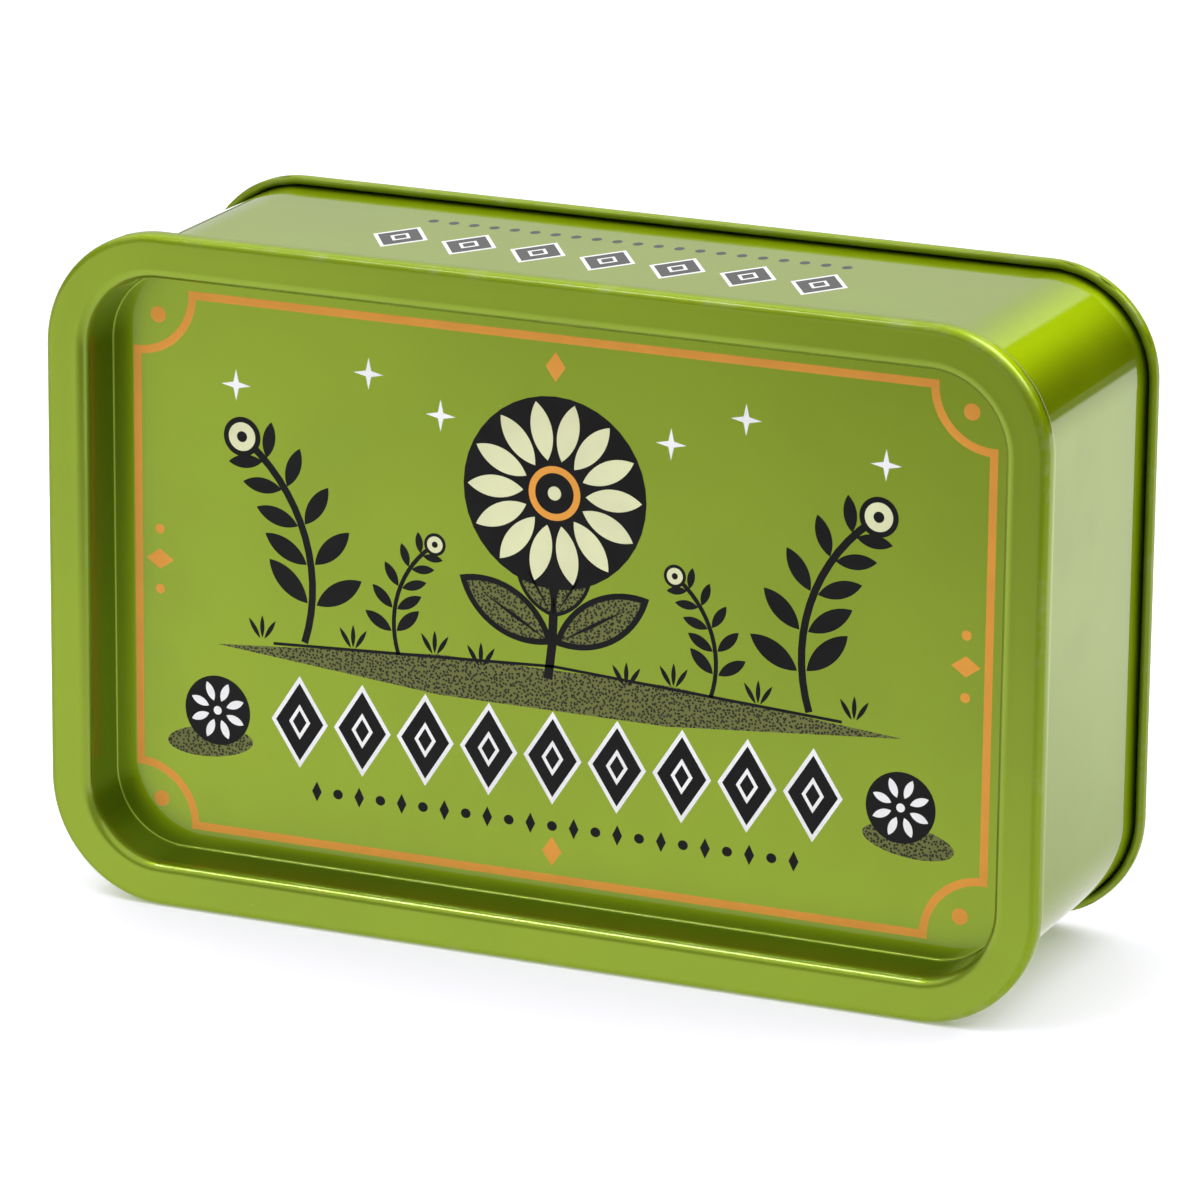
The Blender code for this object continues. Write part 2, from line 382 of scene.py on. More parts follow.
def green_lacquer(name, colour, dullness, seamed=False):
    """Translucent green lacquer over bright tinplate, faintly clouded, with dust, rubs, a few chips and
    painted shade on the recess wall.
    """
    uniform = {"coat_weight": 1, "coat_roughness": COAT_ROUGHNESS, "specular_tint": EDGE_TINT}
    finish = Finish(name, metallic=METAL_SHARE, **uniform)
    across, backwards, upwards = finish.axes()
    inset, depth = finish.inset(), backwards - FRONT

    cloud = finish.noise(GREEN_CLOUD, CLOUDY).ramp(*CLOUD_EDGES)
    base = finish.blend(cloud, shade_of(colour, DEEP_SHARE), shade_of(colour, LIGHT_SHARE))
    dust, pits = finish.specks(*DUST), finish.specks(*PITS)
    base = finish.blend(dust * DUST_COVER, base, DUST_COLOUR)
    base = finish.blend(pits * PIT_COVER, base, PIT_COLOUR)
    if seamed:
        lap_line = abs(across - LAP_WIDTH / 2).ramp(*LAP_LINE) * (upwards < CORNER)
        base = finish.blend(lap_line * LAP_LINE_COVER, base, LAP_LINE_COLOUR)
    # Painted shade: the recess wall's lacquer is blended towards a near-black green
    up_recess = depth.ramp(*RECESS_TOP) * depth.ramp(*RECESS_FOOT)
    painted_recess_shade = abs(inset - RIM_WIDTH - RECESS_LEAN / 2).ramp(*RECESS_REACH) * up_recess
    base = finish.blend(painted_recess_shade * RECESS_SHADE, base, PAINTED_SHADE_COLOUR)

    on_edge = inset.ramp(*EDGE_INSET) * depth.ramp(*EDGE_DEPTH)
    on_crest = abs(inset - RIM_WIDTH).ramp(*CREST_INSET) * depth.ramp(*CREST_DEPTH)
    on_bead = depth.ramp(*BEAD_DEPTH) * inset.ramp(*BEAD_INSET)
    patchy = finish.noise(WORN_PATCH, BROKEN, roughness=WORN_ROUGHNESS).ramp(*WORN_EDGES)
    worn = (on_edge + on_crest + on_bead) * patchy * EDGE_WEAR
    finish.feed("Base Color", finish.blend(worn, base, WORN_COLOUR))
    finish.feed("Coat Weight", 1 - on_edge * EDGE_COAT_LOSS - on_bead * BEAD_COAT_LOSS)

    smudges = finish.noise(SMUDGE_SIZE, BROKEN).ramp(*SMUDGE_EDGES, 0, SMUDGE_DULLNESS)
    grain = finish.noise(GRAIN_SIZE, PLAIN) * GRAIN_DULLNESS
    rubbed = dust * DUST_DULLNESS + worn * WORN_DULLNESS + (on_edge + on_bead) * EDGE_DULLNESS
    finish.feed("Roughness", smudges + grain + rubbed + dullness)
    from_middle = (inset - RIM_MIDDLE) / RIM_HALF
    across_rim = from_middle.maths("MINIMUM", from_middle.maths("MAXIMUM", from_middle, -1), 1)
    rim_lift = across_rim * across_rim * across_rim * RIM_WAVE
    lacquer_relief(finish, dust * DUST_HEIGHT, rim_lift)
    return finish.material


def tinplate(name):
    """Bare tinplate inside the tin, with the fine lines of the rolling mill along its length."""
    finish = Finish(name, metallic=1)
    lines = finish.noise(LINE_SIZE, CLOUDY, LINE_STRETCH)
    cloud = finish.noise(TIN_CLOUD, CLOUDY).ramp(*CLOUD_EDGES)
    base = finish.blend(lines, *LINE_COLOURS)
    finish.feed("Base Color", finish.blend(cloud * TIN_CLOUD_COVER, base, TIN_CLOUD_COLOUR))
    finish.feed("Roughness", lines * LINE_DULLNESS + cloud * TIN_CLOUD_DULLNESS + TIN_ROUGHNESS)
    wave_size, wave_height = WAVES
    finish.relief(lines * LINE_HEIGHT, finish.noise(wave_size, PLAIN) * wave_height)
    return finish.material


def printing_ink(name, colour, coat, metallic=0, speckled=False):
    """Ink under the clear coat, a little uneven as flat colours print on metal, speckled black if asked."""
    finish = Finish(name, metallic=metallic, coat_weight=coat, coat_roughness=COAT_ROUGHNESS)
    finish.shader.inputs["Specular IOR Level"].default_value = INK_SHINE
    cloud = finish.noise(INK_CLOUD, CLOUDY).ramp(*CLOUD_EDGES)
    grain = finish.noise(INK_GRAIN, PLAIN).ramp(*INK_GRAIN_EDGES)
    base = finish.blend(cloud, colour, shade_of(colour, THIN_SHARE, THIN_LIFT))
    base = finish.blend(grain * DENSE_COVER, base, shade_of(colour, DENSE_SHARE))
    if speckled:
        across, _, along = finish.axes()
        flat = finish.node("ShaderNodeCombineXYZ", values={"X": across, "Y": along})
        base = finish.blend(finish.specks(*STIPPLE, "2D", flat), base, STIPPLE_COLOUR)
    finish.feed("Base Color", base)
    finish.feed("Roughness", finish.noise(GRAIN_SIZE, PLAIN) * INK_DULLNESS + INK_ROUGHNESS)
    lacquer_relief(finish)
    return finish.material


def place(inset, depth):
    """A point of a section, drawn at the middle of the tin's lower side."""
    return Vector((0, FRONT + depth, inset))


def place_flat(across, along):
    """A point of a flat drawing, given in millimetres."""
    return Vector((across * MM, along * MM, 0))


class Pen:
    """Draws a line by extruding and spinning its last point: a sheet's section or a shape's outline."""

    def __init__(self, name, start, locate=place, axis=(1, 0, 0), strip=STRIP):
        self.locate, self.axis, self.strip = locate, axis, strip
        bpy.ops.object.select_all(action="DESELECT")
        bpy.ops.mesh.primitive_plane_add(size=SHEET, location=locate(*start))
        bpy.context.object.name = name
        bpy.ops.object.transform_apply(location=True)
        bpy.ops.object.mode_set(mode="EDIT")
        bpy.ops.mesh.merge(type="CENTER")
        self.point = Vector(start)

    def straight(self, point):
        """A flat run to a point, with a narrow strip at each end where there is room."""
        run = Vector(point) - self.point
        strip = run.normalized() * self.strip
        room = self.strip and run.length > 2 * STRIPS * self.strip
        for step in [strip, run - STRIPS * strip, strip] if room else [run]:
            move = self.locate(*(self.point + step)) - self.locate(*self.point)
            bpy.ops.mesh.extrude_vertices_move(TRANSFORM_OT_translate={"value": move})
            self.point = self.point + step

    def bend(self, centre, degrees, steps):
        """A bend about a centre. Positive degrees turn from the inset towards the depth."""
        turn = math.radians(degrees)
        bpy.ops.mesh.spin(steps=steps, angle=turn, center=self.locate(*centre), axis=self.axis)
        arm = self.point - Vector(centre)
        self.point = Vector(centre) + Matrix.Rotation(turn, 2) @ arm

    def corner(self, corner, after, radius):
        """A flat run towards a corner, and the round that takes its place on the way to the next point."""
        corner, after = Vector(corner), Vector(after)
        back = (self.point - corner).normalized()
        ahead = (after - corner).normalized()
        half_angle = back.angle(ahead) / 2
        reach = radius / math.tan(half_angle)
        centre = corner + (back + ahead).normalized() * radius / math.sin(half_angle)
        first = corner + back * reach
        if (first - self.point).length > WELD:
            self.straight(first)
        turn = (first - centre).angle_signed(corner + ahead * reach - centre)
        self.bend(centre, -math.degrees(turn), ROUND_STEPS)


def extrude_along(direction, runs):
    for run in runs:
        bpy.ops.mesh.extrude_edges_move(TRANSFORM_OT_translate={"value": Vector(direction) * run})


def sweep_round_tin():
    """Carries the drawn section along each side of the tin and spins it round each corner."""
    half_long = WIDTH / 2 - CORNER
    half_short = HEIGHT / 2 - CORNER
    right, top, bottom = half_long, HEIGHT - CORNER, CORNER
    long_half = [(half_long - STRIP) * 2 / LONG_STEPS] * (LONG_STEPS // 2)
    long_side = [STRIP] + 2 * long_half + [STRIP]
    short_side = [STRIP] + [(half_short - STRIP) * 2 / SHORT_STEPS] * SHORT_STEPS + [STRIP]
    turns = (
        ((right, 0, bottom), (0, 0, 1), short_side),
        ((right, 0, top), (-1, 0, 0), long_side),
        ((-right, 0, top), (0, 0, -1), short_side),
        ((-right, 0, bottom), (1, 0, 0), [STRIP] + long_half),
    )
    bpy.ops.mesh.select_all(action="SELECT")
    extrude_along((1, 0, 0), long_half + [STRIP])
    for centre, direction, runs in turns:
        bpy.ops.mesh.spin(steps=CORNER_STEPS, angle=math.pi / 2, center=centre, axis=(0, 1, 0))
        extrude_along(direction, runs)
    bpy.ops.mesh.select_all(action="SELECT")
    bpy.ops.mesh.remove_doubles(threshold=WELD)


def fill_panel(depth):
    """Closes the open ring at a depth with a grid whose corners lie midway round the rounded corners."""
    bpy.ops.mesh.select_all(action="DESELECT")
    mesh = bmesh.from_edit_mesh(bpy.context.object.data)
    for edge in mesh.edges:
        if edge.is_boundary and all(abs(end.co.y - FRONT - depth) < WELD for end in edge.verts):
            edge.select_set(True)
    ring = [corner for corner in mesh.verts if corner.select]
    start = max(ring, key=lambda corner: corner.co.x + corner.co.z)
    mesh.select_history.clear()
    mesh.select_history.add(start)
    bmesh.update_edit_mesh(bpy.context.object.data)
    bpy.ops.mesh.fill_grid(span=LONG_STEPS + STRIPS + CORNER_STEPS, offset=0)


def finish_sheet(outer, inner, outward):
    """Gives the swept line its thickness, the lacquer on its outer face and bare metal on the inner one.
    outward tells of a face's middle and normal whether that face looks out of the tin, or nothing."""
    bpy.ops.mesh.select_all(action="SELECT")
    bpy.ops.mesh.normals_make_consistent(inside=False)
    bpy.ops.object.mode_set(mode="OBJECT")
    piece = bpy.context.object
    votes = [outward(face.center, face.normal) for face in piece.data.polygons]
    if votes.count(False) > votes.count(True):
        bpy.ops.object.mode_set(mode="EDIT")
        bpy.ops.mesh.flip_normals()
        bpy.ops.object.mode_set(mode="OBJECT")
    piece.data.materials.append(outer)
    piece.data.materials.append(inner)
    bpy.ops.object.modifier_add(type="SOLIDIFY")
    sheet = piece.modifiers[-1]
    sheet.thickness = SHEET
    sheet.offset = 0
    sheet.use_even_offset = True
    sheet.material_offset = 1
    sheet.material_offset_rim = 1
    bpy.ops.object.modifier_apply(modifier=sheet.name)
    bpy.ops.object.shade_smooth_by_angle(angle=SHARP_ANGLE)
    return piece


def faces_front(middle, normal):
    """On the picture panel, whether a face looks forwards."""
    if abs(middle.y - FRONT - RECESS_DEPTH - HALF_SHEET) > WELD:
        return None
    return normal.y < 0


def faces_sideways_out(middle, normal):
    """On the flat of the wall's two short sides, whether a face looks away from the tin's middle."""
    if abs(abs(middle.x) - WIDTH / 2 + WALL_LINE) > WELD:
        return None
    return normal.x * middle.x > 0


def faces_back(middle, normal):
    """On the raised middle of the bottom panel, whether a face looks backwards."""
    if abs(middle.x) > WIDTH / 4 or abs(middle.z - MIDDLE_HEIGHT) > HEIGHT / 4:
        return None
    return normal.y > 0


def make_lid(outer, inner):
    """The drawn lid: picture panel, steep recess wall, flat rim, rounded edge, skirt and rolled edge."""
    panel_depth = RECESS_DEPTH + HALF_SHEET
    foot = (RIM_WIDTH + RECESS_LEAN - HALF_SHEET, panel_depth)
    crest = (RIM_WIDTH - HALF_SHEET, HALF_SHEET)
    shoulder = (HALF_SHEET, HALF_SHEET)
    curl = (LID_CURL / 2, SKIRT_DEPTH - LID_CURL / 2)
    skirt_end = (HALF_SHEET, curl[1])
    pen = Pen("lid_shell", (foot[0] + FOOT_ROUND + PANEL_BORDER, panel_depth))
    pen.corner(foot, crest, FOOT_ROUND + HALF_SHEET)
    pen.corner(crest, shoulder, INNER_ROUND - HALF_SHEET)
    pen.corner(shoulder, skirt_end, OUTER_ROUND - HALF_SHEET)
    pen.straight(skirt_end)
    pen.bend(curl, -LID_CURL_TURN, CURL_STEPS)
    sweep_round_tin()
    fill_panel(panel_depth)
    piece = finish_sheet(outer, inner, faces_front)
    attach(piece, "lid")
    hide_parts("lid")


def make_wall(outer, inner):
    """The bent strip of the wall, from its rolled mouth to the hook that holds the bottom panel."""
    curl_radius = MOUTH_CURL / 2 - HALF_SHEET
    curl = Vector((WALL_LINE + curl_radius, MOUTH_DEPTH + MOUTH_CURL / 2))
    inner_end = curl + Matrix.Rotation(math.radians(MOUTH_TURN), 2) @ Vector((-curl_radius, 0))
    pen = Pen("wall_shell", inner_end)
    pen.bend(curl, -MOUTH_TURN, CURL_STEPS)
    pen.straight((WALL_LINE, HOOK_BACK))
    pen.bend((BEND_LINE, HOOK_BACK), 180, BEND_STEPS)
    pen.straight((HOOK_LINE, HOOK_FRONT))
    sweep_round_tin()
    piece = finish_sheet(outer, inner, faces_sideways_out)
    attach(piece, "tin_body")
    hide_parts("body_wall")


def crimp_seam():
    """The small creases that the seaming wheels leave in the front fold where it goes round the corners."""
    mesh = bmesh.from_edit_mesh(bpy.context.object.data)
    step = math.pi / 2 / CORNER_STEPS
    for side_x in (-1, 1):
        for side_z in (-1, 1):
            centre = Vector((side_x * (WIDTH / 2 - CORNER), MIDDLE_HEIGHT + side_z * (HEIGHT / 2 - CORNER)))
            for column, push in CRIMPS:
                outward = Vector((side_x * math.sin(column * step), side_z * math.cos(column * step)))
                bpy.ops.mesh.select_all(action="DESELECT")
                for corner in mesh.verts:
                    arm = Vector((corner.co.x, corner.co.z)) - centre
                    in_fold = corner.co.y < FRONT + HOOK_FRONT and arm.length > CORNER - WALL_INSET
                    if in_fold and arm.angle(outward) < step / 3:
                        corner.select_set(True)
                bmesh.update_edit_mesh(bpy.context.object.data)
                move = (-outward.x * push, push, -outward.y * push)
                bpy.ops.transform.translate(value=move)


def make_lap(metal):
    """The lapped side seam, which stands up on the inner face of the lower side."""
    low = WALL_INSET + SHEET - HALF_SHEET / 2
    high = WALL_INSET + SHEET + LAP_THICKNESS
    middle = (0, FRONT + (LAP_START + LAP_END) / 2, (low + high) / 2)
    bpy.ops.object.select_all(action="DESELECT")
    size = (LAP_WIDTH, LAP_END - LAP_START, high - low)
    bpy.ops.mesh.primitive_cube_add(size=1, location=middle, scale=size)
    piece = bpy.context.object
    piece.name = "side_seam_lap"
    bpy.ops.object.transform_apply()
    bpy.ops.object.mode_set(mode="EDIT")
    bpy.ops.mesh.select_all(action="DESELECT")
    mesh = bmesh.from_edit_mesh(piece.data)
    for edge in mesh.edges:
        edge.select_set(all(end.co.z > middle[2] for end in edge.verts))
    bmesh.update_edit_mesh(piece.data)
    bpy.ops.mesh.bevel(offset=LAP_ROUND, segments=LAP_ROUND_STEPS)
    bpy.ops.object.mode_set(mode="OBJECT")
    piece.data.materials.append(metal)
    bpy.ops.object.shade_smooth_by_angle(angle=SHARP_ANGLE)
    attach(piece, "tin_body")


def make_bottom(outer, inner):
    """The pressed bottom panel: raised middle, ledge, countersink and the fold over the wall's hook."""
    ledge_depth = DEPTH - COUNTERSINK - HALF_SHEET
    countersink_line = WALL_INSET + SHEET + GAP + HALF_SHEET
    step_foot = Vector((countersink_line + LEDGE_WIDTH, ledge_depth))
    step_top = step_foot + Vector((STEP_LEAN, STEP_HEIGHT))
    countersink_foot = Vector((countersink_line, ledge_depth))
    cover_start = Vector((countersink_line, HOOK_BACK))
    pen = Pen("bottom_shell", (step_top.x + STEP_ROUND + STEP_BORDER, step_top.y))
    pen.corner(step_top, step_foot, STEP_ROUND)
    pen.corner(step_foot, countersink_foot, STEP_ROUND)
    pen.corner(countersink_foot, cover_start, COUNTERSINK_ROUND)
    pen.straight(cover_start)
    pen.bend((BEND_LINE, HOOK_BACK), 180, BEND_STEPS)
    pen.straight((HOOK_LINE - FOLD_BEND, HOOK_FRONT))
    pen.bend((HOOK_LINE, HOOK_FRONT), 180, BEND_STEPS)
    pen.straight((HOOK_LINE + FOLD_BEND, HOOK_BACK))
    sweep_round_tin()
    crimp_seam()
    fill_panel(step_top.y)
    piece = finish_sheet(outer, inner, faces_back)
    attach(piece, "tin_body")
    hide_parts("bottom_panel")


# Prints: how far ink reaches into the lacquer, the rise of each layer, and the steps of round shapes
INK_SINK = 0.005 * MM
INK_RISE = 0.01 * MM
DISC_SIDES = 40
DEGREES_PER_STEP = 5

# The panel's frame in millimetres: where its notches are centred, their radius and the line's width
FRAME_REACH = (81.6, 49.4)
FRAME_NOTCH = 11
FRAME_WIDTH = 1.5

# Leaf shapes in millimetres, each by its start, length and half width
HILL = ((-66, -14.5), 132, 4.2)
LEAF_EDGE = ((0, 0), 22, 4.6)
LEAF_FACE = ((1.8, 0), 18.4, 3.5)
LEAF_RIB = ((1, 0), 16, 0.4)
SPRIG_LEAF = ((0.9, 0), 8.4, 1.55)
FLOWER_PETAL = ((5.2, 0), 9.3, 1.75)
BUTTON_PETAL = ((1.9, 0), 3.7, 0.75)
GRASS_BLADE = ((0.8, 0), 4.2, 0.42)

# Curved lines, each by its centre, radius, width, and the degrees where it starts and that it sweeps
HILL_LINE = ((0, -534), 523.9, 0.55, 84, 12)
FLOWER_STEM = ((-80, 0), 80, 1.7, -9, 20)
SPRIG_BEND = (-26, 0)
SPRIG_RADIUS = 26
SPRIG_STEM = (SPRIG_BEND, SPRIG_RADIUS, 1.1, -18, 70)

# Discs and lozenges, each by its centre and radii, the shadow with its turn
FLOWER_DISC = ((0, 0), (15.2, 15.2))
BUTTON_SHADOW = ((-1.5, -6), (8.6, 2.9), 6)
BUTTON_DISC = ((0, 0), (6.5, 6.5))
BUTTON_EYE = ((0, 0), (0.8, 0.8))
SIDE_MARK = ((-77.4, 0), (2.7, 1.9))
SIDE_DOTS = (((-77.4, -5.6), (0.9, 0.9)), ((-77.4, 5.6), (0.9, 0.9)))
CORNER_DOT = ((-77.4, 45.2), (1.5, 1.5))
END_MARKS = (((0, -44.3), (1.9, 2.7)), ((0, 44.3), (1.9, 2.7)))

# Discs or lozenges laid on each other, each by its radii and its ink
FLOWER_EYE = (((4.3, 4.3), "orange"), ((3.2, 3.2), "black"), ((1.1, 1.1), "cream"))
BUD = (((2.9, 2.9), "black"), ((2.1, 2.1), "cream"), ((0.8, 0.8), "black"))
LOZENGE = (((5.6, 8.6), "white"), ((4.7, 7.25), "black"), ((2.1, 3.3), "white"), ((1.35, 2.15), "black"))

# What repeats in a motif: the number of petals, a star's two radii and the turns of a tuft's blades
FLOWER_PETALS = 14
BUTTON_PETALS = 8
STAR_RADII = (2.9, 0.75)
BLADE_TURNS = (58, 90, 122)

# A sprig: where its pairs of leaves and its bud stand on the stem, the leaves' spread, and how they shrink
LEAF_PLACES = (-6, 7, 20, 33, 44)
LEAF_SPREAD = 52
LEAF_TAPER = 0.09
BUD_PLACE = 55

# Where the motifs stand on the panel, the leaves with their turn and size, the sprigs with their size and
# whether they bend inwards
FLOWER_PLACE = (0, 21.5)
FLOWER_SIZE = 1.15
LEAVES = (((0.1, -6), 150, 0.95), ((0.1, -1), 122, 0.6))
SPRIGS = (((47, -2), 1.25, False), ((31, -6), 0.72, True))
BUTTONS = ((66, -27),)
TUFTS = ((14, -12.5), (23, -11.5), (39, -12.5), (57, -13))
STARS = ((62, 34), (36, 39), (22, 33))

# The band of lozenges and the row of small marks below it, half of their numbers, spacing and height
LOZENGE_COUNT = 4
LOZENGE_SPACING = 12.4
LOZENGE_HEIGHT = -27
ROW_COUNT = 11
ROW_SPACING = 4.2
ROW_HEIGHT = -39.6
ROW_DOT = (0.95, 0.9)
ROW_LOZENGE = (0.95, 1.9)

# The band on the upper side
TOP_BAND_DEPTH = 32 * MM
TOP_LOZENGE_COUNT = 3
TOP_LOZENGE_SPACING = 13.4
TOP_LOZENGE_SIZE = 0.96
TOP_DOT_COUNT = 10
TOP_DOT_SPACING = 4
TOP_DOT_HEIGHT = 13.6
TOP_DOT = (0.9, 1.2)


def flat_disc(centre, radii, turn=0, sides=DISC_SIDES):
    """A flat disc, an ellipse or, with four sides, a lozenge."""
    bpy.ops.object.select_all(action="DESELECT")
    where, turned = place_flat(*centre), (0, 0, math.radians(turn))
    shape = {"vertices": sides, "radius": MM, "fill_type": "NGON"}
    bpy.ops.mesh.primitive_circle_add(**shape, location=where, rotation=turned)
    bpy.context.object.scale = (*radii, 1)
    bpy.ops.object.transform_apply()
    return bpy.context.object


def draw_outline(start, moves):
    """Draws a closed outline. A move is a point to run to and 0, or a centre and the degrees to turn."""
    pen = Pen("flat_shape", start, place_flat, (0, 0, -1), 0)
    for where, turn in moves:
        if turn:
            pen.bend(where, turn, max(2, round(abs(turn) / DEGREES_PER_STEP)))
        else:
            pen.straight(where)
    bpy.ops.mesh.select_all(action="SELECT")
    bpy.ops.mesh.remove_doubles(threshold=WELD)


def flat_shape(start, moves):
    draw_outline(start, moves)
    bpy.ops.mesh.edge_face_add()
    bpy.ops.object.mode_set(mode="OBJECT")
    return bpy.context.object


def polar(centre, radius, degrees):
    angle = math.radians(degrees)
    return (centre[0] + radius * math.cos(angle), centre[1] + radius * math.sin(angle))


def flat_lens(start, length, half_width):
    """A pointed leaf or petal that lies along X."""
    radius = (length * length / 4 + half_width * half_width) / (2 * half_width)
    turn = 2 * math.degrees(math.asin(length / 2 / radius))
    middle = start[0] + length / 2
    drop = radius - half_width
    return flat_shape(start, [((middle, start[1] - drop), -turn), ((middle, start[1] + drop), -turn)])


def flat_arc(centre, radius, width, start, sweep):
    """A ribbon of even width along an arc."""
    inner, outer = radius - width / 2, radius + width / 2
    there = [(polar(centre, outer, start), 0), (centre, sweep)]
    back_again = [(polar(centre, inner, start + sweep), 0), (centre, -sweep)]
    return flat_shape(polar(centre, inner, start), there + back_again)


def notched_outline(reach, notch):
    """The outline of a rectangle whose corners are cut out round points at reach."""
    across, along = reach
    moves = []
    for side_x, side_y in ((1, -1), (1, 1), (-1, 1), (-1, -1)):
        corner = (side_x * FRAME_REACH[0], side_y * FRAME_REACH[1])
        gap_x = math.sqrt(notch ** 2 - (along - FRAME_REACH[1]) ** 2)
        gap_y = math.sqrt(notch ** 2 - (across - FRAME_REACH[0]) ** 2)
        on_long = (side_x * (FRAME_REACH[0] - gap_x), side_y * along)
        on_short = (side_x * across, side_y * (FRAME_REACH[1] - gap_y))
        first = on_long if side_x * side_y < 0 else on_short
        last = on_short if side_x * side_y < 0 else on_long
        start_angle = math.degrees(math.atan2(first[1] - corner[1], first[0] - corner[0]))
        end_angle = math.degrees(math.atan2(last[1] - corner[1], last[0] - corner[0]))
        turn = (end_angle - start_angle + 180) % 360 - 180
        moves += [(first, 0), (corner, turn)]
    draw_outline((0, -along), moves + [((0, -along), 0)])
    bpy.ops.object.mode_set(mode="OBJECT")
    return bpy.context.object


def flat_frame():
    """The frame line: two notched outlines joined by a strip of faces."""
    half = FRAME_WIDTH / 2
    outer = notched_outline((FRAME_REACH[0] + half, FRAME_REACH[1] + half), FRAME_NOTCH - half)
    inner = notched_outline((FRAME_REACH[0] - half, FRAME_REACH[1] - half), FRAME_NOTCH + half)
    outer.select_set(True)
    bpy.ops.object.join()
    bpy.ops.object.mode_set(mode="EDIT")
    bpy.ops.mesh.select_all(action="SELECT")
    bpy.ops.mesh.bridge_edge_loops()
    bpy.ops.object.mode_set(mode="OBJECT")
    return inner


class Print:
    """A printed design: flat shapes by ink and layer, laid on a face of the tin as one piece per ink."""

    def __init__(self):
        self.shapes = []

    def add(self, shape, ink, layer):
        self.shapes.append((shape, ink, layer))

    def pile(self, centre, discs, layer, sides=DISC_SIDES):
        """Lays discs on each other, each one layer higher."""
        for rise, (radii, ink) in enumerate(discs):
            self.add(flat_disc(centre, radii, sides=sides), ink, layer + rise)

    def stamp(self, motif, centre, turn=0, size=1, mirrored=False, lift=0):
        """Copies each shape of a motif to a place."""
        flip = Matrix.Diagonal((-1 if mirrored else 1, 1, 1, 1))
        move = Matrix.Translation(place_flat(*centre)) @ flip @ Matrix.Rotation(math.radians(turn), 4, "Z")
        for shape, ink, layer in motif.shapes:
            twin = shape.copy()
            twin.data = shape.data.copy()
            twin.data.transform(move @ Matrix.Scale(size, 4))
            bpy.context.collection.objects.link(twin)
            self.add(twin, ink, layer + lift)

    def clear(self):
        for shape, _, _ in self.shapes:
            bpy.data.objects.remove(shape, do_unlink=True)

    def lay(self, name, inks, face, body):
        """Raises the shapes of each ink by their layers, joins them and lays them on a face of the tin."""
        for ink, material in inks.items():
            group = [(shape, layer) for shape, used, layer in self.shapes if used == ink]
            if not group:
                continue
            for layer in sorted({layer for shape, layer in group}):
                bpy.ops.object.select_all(action="DESELECT")
                for shape in (shape for shape, level in group if level == layer):
                    shape.select_set(True)
                    bpy.context.view_layer.objects.active = shape
                bpy.ops.object.mode_set(mode="EDIT")
                bpy.ops.mesh.select_all(action="SELECT")
                rise = (0, 0, INK_SINK + layer * INK_RISE)
                bpy.ops.mesh.extrude_region_move(TRANSFORM_OT_translate={"value": rise})
                bpy.ops.object.mode_set(mode="OBJECT")
            bpy.ops.object.select_all(action="DESELECT")
            for shape, layer in group:
                shape.select_set(True)
            bpy.context.view_layer.objects.active = group[0][0]
            bpy.ops.object.join()
            piece = bpy.context.object
            bpy.ops.object.mode_set(mode="EDIT")
            bpy.ops.mesh.select_all(action="SELECT")
            bpy.ops.mesh.normals_make_consistent(inside=False)
            bpy.ops.object.mode_set(mode="OBJECT")
            piece.name = name + "_" + ink
            piece.matrix_world = face @ Matrix.Translation((0, 0, -INK_SINK))
            bpy.ops.object.transform_apply()
            piece.data.materials.clear()
            piece.data.materials.append(material)
            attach(piece, body)


def leaf_motif():
    """A speckled leaf with a black edge and a black rib."""
    motif = Print()
    motif.add(flat_lens(*LEAF_EDGE), "black", 1)
    motif.add(flat_lens(*LEAF_FACE), "olive", 2)
    motif.add(flat_lens(*LEAF_RIB), "black", 3)
    return motif


def flower_motif():
    """A round black flower with cream petals and an orange eye."""
    motif, petal = Print(), Print()
    motif.add(flat_disc(*FLOWER_DISC), "black", 2)
    petal.add(flat_lens(*FLOWER_PETAL), "cream", 3)
    for count in range(FLOWER_PETALS):
        motif.stamp(petal, (0, 0), count * 360 / FLOWER_PETALS)
    petal.clear()
    motif.pile((0, 0), FLOWER_EYE, 3)
    return motif


def sprig_motif():
    """A curved stem with pairs of black leaves and a small cream bud at its tip."""
    motif, leaf = Print(), Print()
    motif.add(flat_arc(*SPRIG_STEM), "black", 1)
    leaf.add(flat_lens(*SPRIG_LEAF), "black", 1)
    for count, along in enumerate(LEAF_PLACES):
        foot, size = polar(SPRIG_BEND, SPRIG_RADIUS, along), 1 - LEAF_TAPER * count
        for side in (-1, 1):
            motif.stamp(leaf, foot, along + 90 + side * LEAF_SPREAD, size)
    leaf.clear()
    motif.pile(polar(SPRIG_BEND, SPRIG_RADIUS, BUD_PLACE), BUD, 2)
    return motif


def lozenge_motif():
    """A black lozenge with a white outline and a white-lined heart."""
    motif = Print()
    motif.pile((0, 0), LOZENGE, 1, sides=4)
    return motif


def button_motif():
    """A black button with white petals, on a speckled shadow."""
    motif, petal = Print(), Print()
    motif.add(flat_disc(*BUTTON_SHADOW), "olive", 1)
    motif.add(flat_disc(*BUTTON_DISC), "black", 2)
    petal.add(flat_lens(*BUTTON_PETAL), "white", 3)
    for count in range(BUTTON_PETALS):
        motif.stamp(petal, (0, 0), (count + 0.5) * 360 / BUTTON_PETALS)
    petal.clear()
    motif.add(flat_disc(*BUTTON_EYE), "white", 3)
    return motif


def star_motif():
    """A white star with four points."""
    motif = Print()
    points = [polar((0, 0), STAR_RADII[count % 2], count * 45) for count in range(9)]
    motif.add(flat_shape(points[0], [(point, 0) for point in points[1:]]), "white", 1)
    return motif


